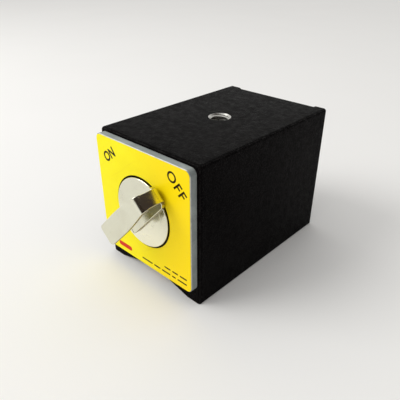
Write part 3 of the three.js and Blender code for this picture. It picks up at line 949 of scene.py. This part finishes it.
def make_plate():
    (x0, z0), (x1, z1) = plate_corners()
    face = -PLATE["thickness"]
    plate = slab("plate_body", (x0, face, z0), (x1, -SEAT_GAP, z1))
    round_edges(plate, along_y, PLATE["corner"], 10)
    round_edges(plate, lambda middle, way: middle.y < face + 0.01, PLATE_EDGE["front"], 4)
    round_edges(plate, lambda middle, way: middle.y > -SEAT_GAP - 0.01, PLATE_EDGE["rear"], 2)
    carve(
        plate,
        rod("neck_hole", PLATE_HOLE, face - 1, 1),
        rod("recess", RECESS["radius"], face - 1, face + RECESS["depth"], facets=160),
        rod("pin_hole", PIN_HOLE["radius"], -PIN_HOLE["depth"], 1, AXIS_Z + PIN_HOLE["above_axis"], 36),
        *plate_screw_seats(),
    )
    return shade(plate)


def make_label():
    (x0, z0), (x1, z1) = plate_corners()
    inset = LABEL["inset"]
    face = -PLATE["thickness"]
    sheet = slab("label_film", (x0 + inset, LABEL_FACE, z0 + inset), (x1 - inset, face, z1 - inset))
    round_edges(sheet, along_y, LABEL["corner"], 10)
    carve(sheet, rod("label_hole", LABEL["hole"], face - 1, face + 1, facets=160))
    return shade(sheet)


def lettering(name, words, x, z, *, turn, cap_height, length, weight, spacing):
    """Words printed flat on the label, centred at (x, z) and turned anticlockwise by turn degrees."""
    clear_selection()
    bpy.ops.object.text_add()
    text = bpy.context.active_object
    text.data.body = words
    text.data.size = 1.0
    type_thickness = 0.02
    text.data.extrude = type_thickness / 2
    text.data.offset = weight
    text.data.space_character = spacing
    text.data.resolution_u = 8
    bpy.ops.object.convert(target="MESH")
    piece = named(name)
    xs = [v.co.x for v in piece.data.vertices]
    ys = [v.co.y for v in piece.data.vertices]
    piece.data.transform(Matrix.Translation((-(min(xs) + max(xs)) / 2, -(min(ys) + max(ys)) / 2, 0)))
    piece.scale = (
        length * MM / (max(xs) - min(xs)),
        cap_height * MM / (max(ys) - min(ys)),
        INK * MM / type_thickness,
    )
    bpy.ops.object.transform_apply(location=False, rotation=False, scale=True)
    piece.rotation_euler = (math.pi / 2, -math.radians(turn), 0)
    piece.location = (x * MM, (FRONT_Y + LABEL_FACE - INK / 2) * MM, z * MM)
    settle()
    edit(piece)
    select_all()
    bpy.ops.mesh.remove_doubles(threshold=1e-7)
    bpy.ops.mesh.normals_make_consistent(inside=False)
    done()
    return piece


def printed_bar(name, x0, x1, z, height):
    """A printed bar with round ends."""
    bar = slab(name, (x0, LABEL_FACE - INK, z - height / 2), (x1, LABEL_FACE, z + height / 2))
    round_edges(bar, along_y, height * 0.45, 5)
    return bar


def joined(name, pieces):
    clear_selection()
    for piece in pieces:
        piece.select_set(True)
    bpy.context.view_layer.objects.active = pieces[0]
    bpy.ops.object.join()
    return named(name)


def make_rules():
    """Two rows of plain dashes, low on the label."""
    lower = [(-2.2, 3.6), (4.5, 7.9), (8.8, 13.2), (14.1, 16.0), (16.9, 21.6)]
    upper = [(10.2, 13.4), (14.3, 17.2), (18.1, 21.6)]
    rows = ((9.2, lower), (11.4, upper))
    bars = [printed_bar("dash", x0, x1, z, height=0.6) for z, row in rows for x0, x1 in row]
    return joined("printed_rules", bars)


def in_recess(middle, normal):
    return math.hypot(middle.x, middle.z - AXIS_Z) < RECESS["radius"] + 0.05


front_plate = place(make_plate(), "block", "grey_paint", [plate_enamel, recess_painted_shade], "front_plate")
# The recess faces get the near-black painted shade.
paint_faces(front_plate, 1, in_recess)
place(make_label(), "block", "yellow_label", [label_film], "front_label")
printed_on = lettering(
    "printed_on", "ON", -16.75, 47.3, turn=36, cap_height=3.9, length=7.0, weight=0.028, spacing=1.0
)
place(printed_on, "block", "yellow_label", [black_ink])
printed_off = lettering(
    "printed_off", "OFF", 17.7, 47.3, turn=-47, cap_height=3.8, length=10.1, weight=0.018, spacing=1.14
)
place(printed_off, "block", "yellow_label", [black_ink])
place(make_rules(), "block", "yellow_label", [black_ink])
place(printed_bar("printed_bar", -16.2, -8.4, 9.7, height=2.0), "block", "yellow_label", [red_ink])


# ---- The knob: a disc, a lever bent from one strip, and two flush rivets ----

def rivet_profile(play):
    """A countersunk rivet, its head just below the foot's face, or with some play the hole for it."""
    face = FOOT["face"] - 1 if play else FOOT["face"] + RIVET["below"]
    cone = FOOT["face"] + CONE_START
    head, shank, end = RIVET["head"] + play, RIVET["shank"] + play, RIVET["end"] + play
    rim = [(head, face)] if play else [(head - RIVET["edge"], face), (head, face + RIVET["edge"])]
    return [(0, face), *rim, (head, cone), (shank, cone + head - shank), (shank, end), (0, end)]


def on_lever(s):
    """Where a point at s along the lever lies on the turned knob: its x and z."""
    angle = math.radians(LEVER_ANGLE)
    return s * math.cos(angle), AXIS_Z + s * math.sin(angle)


def rivet_bores():
    profile = rivet_profile(RIVET["play"])
    return [turned("rivet_bore", profile, *on_lever(s), facets=40) for s in (-RIVET["s"], RIVET["s"])]


def make_disc():
    radius, face, back, edge = DISC["radius"], DISC["face"], DISC["back"], DISC["edge"]
    angles = [i / 5 * math.pi / 2 for i in range(6)]
    rim = [(radius - edge + edge * math.cos(a), face + edge - edge * math.sin(a)) for a in angles]
    bevel = DISC["rear_edge"]
    outline = [(0, back), (radius - bevel, back), (radius, back - bevel), *rim, (0, face)]
    return shade(carve(turned("disc", outline, facets=160), *rivet_bores()))


def strip_half_width(s, front):
    """Half the strip's width at s: the foot's outline behind the wall, the grip's in front of it."""
    if front:
        part = min(1.0, max(0.0, (WALL["s"] - s) / GRIP["flare"]))
        return WALL["half_width"] + (GRIP["half_width"] - WALL["half_width"]) * part * (2 - part)
    part = min(1.0, max(0.0, (s - FOOT["shoulder"]) / (FOOT["neck"] - FOOT["shoulder"])))
    return FOOT["half_width"] + (WALL["half_width"] - FOOT["half_width"]) * part * (2 - part)


def make_lever():
    """Bent from one strip along +X, then turned to its place round the axis."""
    lean = math.radians(WALL["lean"])
    outer = FOOT_BEND + SHEET
    foot_bend = (WALL["s"] - outer, FOOT["face"] - FOOT_BEND)
    up = Vector((-math.sin(lean), -math.cos(lean)))
    wall_start = Vector(foot_bend) + outer * Vector((math.cos(lean), -math.sin(lean)))
    climb = (GRIP["meets_wall_y"] - wall_start.y) / up.y
    corner = wall_start + up * climb
    run = (Vector((GRIP["tip_s"], GRIP["tip_y"])) - corner).normalized()
    turn = math.acos(up.dot(run))
    setback = GRIP_BEND * math.tan(turn / 2)
    grip_bend = corner - up * setback + GRIP_BEND * Vector((-math.cos(lean), math.sin(lean)))
    grip_start = corner + run * setback

    half = FOOT["half_width"]
    low = (FOOT["end"], FOOT["face"], -half)
    strip = slab("lever", low, (FOOT["shoulder"], FOOT["face"] + SHEET, half))
    edit(strip)
    pick(strip, "FACE", lambda middle, way: way.x > 0.9)
    width = half

    def go(dx, dy):
        bpy.ops.mesh.extrude_region_move(TRANSFORM_OT_translate={"value": (dx * MM, dy * MM, 0)})

    def set_width(wanted):
        nonlocal width
        bpy.ops.transform.resize(value=(1, 1, wanted / width), center_override=(0, 0, 0))
        width = wanted

    def bend(middle, angle, steps, shape):
        for i in range(steps):
            bpy.ops.mesh.spin(
                steps=1,
                angle=angle / steps,
                center=(middle[0] * MM, (middle[1] + FRONT_Y) * MM, 0),
                axis=(0, 0, 1),
                use_auto_merge=False,
            )
            set_width(shape((i + 1) / steps))

    straight = foot_bend[0] - FOOT["shoulder"]
    go(straight / 2, 0)
    set_width(strip_half_width(FOOT["shoulder"] + straight / 2, False))
    go(straight / 2, 0)
    set_width(strip_half_width(foot_bend[0], False))
    full = math.pi / 2 + lean
    middle_radius = FOOT_BEND + SHEET / 2

    def in_foot_bend(part):
        reach = middle_radius * math.sin(min(full * part, math.pi / 2))
        return strip_half_width(foot_bend[0] + reach, False)

    bend(foot_bend, full, 14, in_foot_bend)
    rise = climb - setback
    for i in range(3):
        go(up.x * rise / 3, up.y * rise / 3)
    set_width(strip_half_width(WALL["s"] - 0.5, True))

    def in_grip_bend(part):
        reach = (GRIP_BEND - SHEET / 2) * math.cos(lean + turn * part)
        return strip_half_width(grip_bend.x + reach, True)

    bend(grip_bend, turn, 12, in_grip_bend)
    steps = 16
    length = (Vector((GRIP["tip_s"], GRIP["tip_y"])) - grip_start).length
    for i in range(steps):
        go(run.x * length / steps, run.y * length / steps)
        set_width(strip_half_width(grip_start.x + run.x * length * (i + 1) / steps, True))
    done()

    def tip_corner(middle, way):
        return along_y(middle, way) and middle.x < GRIP["tip_s"] + 0.5 and middle.y < FOOT["face"] - 3

    def foot_corner(middle, way):
        return along_y(middle, way) and middle.x < FOOT["end"] + 0.1 and middle.y > FOOT["face"] - 1

    round_edges(strip, tip_corner, GRIP_CORNER, 10)
    round_edges(strip, foot_corner, FOOT["corner"], 8)
    soften(strip, LEVER_EDGE, segments=3, angle=40)
    strip.location.z = AXIS_Z * MM
    strip.rotation_euler.y = -math.radians(LEVER_ANGLE)
    take(strip)
    settle()
    return shade(carve(strip, *rivet_bores()), 30)


place(make_disc(), "knob", "nickel", [disc_nickel], "knob_disc")
lever = place(make_lever(), "knob", "nickel", [nickel, strip_edge_and_shade, unpolished_shaded_nickel], "knob_lever")
across_lever = Vector((-math.sin(math.radians(LEVER_ANGLE)), 0, math.cos(math.radians(LEVER_ANGLE))))
# The strip's side faces get the dark edge finish, which is partly painted shade.
paint_faces(lever, 1, lambda middle, normal: abs(normal.dot(across_lever)) > 0.8)
# The back faces under the grip get the darker nickel: rougher, and partly painted shade.
paint_faces(lever, 2, lambda middle, normal: normal.y > 0.5 and middle.y < FOOT["face"] - 3)
for number, s in ((1, -RIVET["s"]), (2, RIVET["s"])):
    rivet = turned(f"rivet_{number}", rivet_profile(0), *on_lever(s), facets=48)
    place(shade(rivet), "knob", "steel", [steel], f"knob_rivet_{number}")


# ---- The rear cover and its screws ----

def make_cover():
    half = COVER["width"] / 2
    low = (-half, CHANNEL_FLOOR + SEAT_GAP, COVER["bottom"])
    cover = slab("cover_sheet", low, (half, COVER_FACE, COVER["top"]))
    round_edges(cover, along_y, COVER["corner"], 8)
    round_edges(cover, lambda middle, way: middle.y > COVER_FACE - 0.01, COVER["edge"], 3)
    return shade(carve(cover, *cover_screw_seats()))


def make_cover_screw(x, z):
    """A countersunk screw with a cross recess, its head just below the cover's face."""
    screw = screw_shape("cover_screw", x, z, COVER_FACE - SCREW["below"], -1, 0)
    long, short = CROSS["length"] / 2, CROSS["width"] / 2
    for half_x, half_z in ((long, short), (short, long)):
        low = (x - half_x, COVER_FACE - CROSS["depth"], z - half_z)
        carve(screw, slab("cross_arm", low, (x + half_x, COVER_FACE + 1, z + half_z)))
    soften(screw, SCREW["edge"], segments=2, angle=30)
    return shade(screw)


place(make_cover(), "block", "black_paint", [cover_paint], "rear_cover")
first_x, first_z = COVER_SCREWS[0]
pattern = make_cover_screw(first_x, first_z)
cover_screws = [pattern] + [copied(pattern, "cover_screw") for _ in COVER_SCREWS[1:]]
for number, (screw, (x, z)) in enumerate(zip(cover_screws, COVER_SCREWS), 1):
    screw.name = screw.data.name = f"rear_screw_{number}"
    screw.location = ((x - first_x) * MM, 0, (z - first_z) * MM)
    take(screw)
    settle()
    place(screw, "block", "steel", [steel], f"cover_screw_{number}")


# ---- Floor, light and camera ----

def make_floor():
    clear_selection()
    bpy.ops.mesh.primitive_plane_add(size=6, location=(0, 0, 0))
    floor = named("floor")
    material, tree, shader, at = new_material("floor_white", Roughness=0.8, Specular_IOR_Level=0.0)
    color = blend_colors(tree, noise(tree, at, 12.0, 2.0), (0.88, 0.87, 0.865), (0.9, 0.89, 0.885))
    feed(tree, shader, Base_Color=color)
    # Seen from below the floor is clear, so that the feet and the groove can be looked at.
    clear = tree.nodes.new("ShaderNodeBsdfTransparent").outputs[0]
    below = tree.nodes.new("ShaderNodeNewGeometry").outputs["Backfacing"]
    either = add_node(tree, "ShaderNodeMixShader", {0: below, 1: shader.outputs[0], 2: clear}).outputs[0]
    tree.links.new(either, tree.nodes["Material Output"].inputs["Surface"])
    floor.data.materials.append(material)


def aim(position, target):
    """The turn that points a lamp, card or camera from one place at another."""
    return (Vector(target) - Vector(position)).to_track_quat("-Z", "Y").to_euler()


def area_light(name, position, target, size, power, color):
    light = bpy.data.lights.new(name, "AREA")
    light.shape = "DISK"
    light.size = size
    light.energy = power
    light.color = color
    lamp = bpy.data.objects.new(name, light)
    bpy.context.scene.collection.objects.link(lamp)
    lamp.location = position
    lamp.rotation_euler = aim(position, target)


def dark_card(name, position, target, size):
    """A dark card out of shot, seen only in polished metal, as a dark corner of the room would be."""
    clear_selection()
    bpy.ops.mesh.primitive_plane_add(size=size)
    card = bpy.context.active_object
    card.location = position
    card.rotation_euler = aim(position, target)
    card = named(name)
    material, tree, shader, at = new_material(name, Roughness=0.9)
    color = blend_colors(tree, noise(tree, at, 8.0, 2.0), (0.021, 0.009, 0.004), (0.034, 0.014, 0.007))
    feed(tree, shader, Base_Color=color)
    card.data.materials.append(material)
    card.visible_camera = False
    card.visible_diffuse = False
    card.visible_shadow = False
    card.visible_transmission = False


def make_world():
    world = bpy.data.worlds.new("studio")
    world.use_nodes = True
    tree = world.node_tree
    way = tree.nodes.new("ShaderNodeTexCoord").outputs["Generated"]
    right = separate(tree, way)["X"]
    # The room is dimmer on the right, but the backdrop itself looks even.
    seen = tree.nodes.new("ShaderNodeLightPath").outputs["Is Camera Ray"]
    dim = times(tree, step_up(tree, right, -0.1, 0.9), calc(tree, "SUBTRACT", 1.0, seen))
    color = blend_colors(tree, dim, (1.0, 1.0, 0.975), (0.28, 0.27, 0.265))
    tree.links.new(color, tree.nodes["Background"].inputs["Color"])
    tree.nodes["Background"].inputs["Strength"].default_value = 0.89
    bpy.context.scene.world = world


def make_camera():
    camera = bpy.data.objects.new("camera", bpy.data.cameras.new("camera"))
    bpy.context.scene.collection.objects.link(camera)
    position = Vector((106.517, -86.488 + FRONT_Y, 112.149)) * MM
    target = Vector((-3.2555, 29.9576 + FRONT_Y, 19.9829)) * MM
    camera.location = position
    camera.rotation_euler = aim(position, target)
    camera.data.sensor_width = 36.0
    camera.data.lens = 39.87
    camera.data.clip_start = 0.005
    bpy.context.scene.camera = camera


make_floor()
make_world()
area_light("key", (-0.5, -0.55, 0.6), (0, 0, 0.03), 0.6, 4.4, (1.0, 1.0, 0.97))
dark_card("card_right", (0.62, -0.6, 0.85), (0, -0.6, 0.85), 3.2)
dark_card("card_front", (0.45, -1.3, 0.8), (0, 0, 0.1), 1.3)
make_camera()
bpy.context.scene.view_settings.view_transform = "Standard"
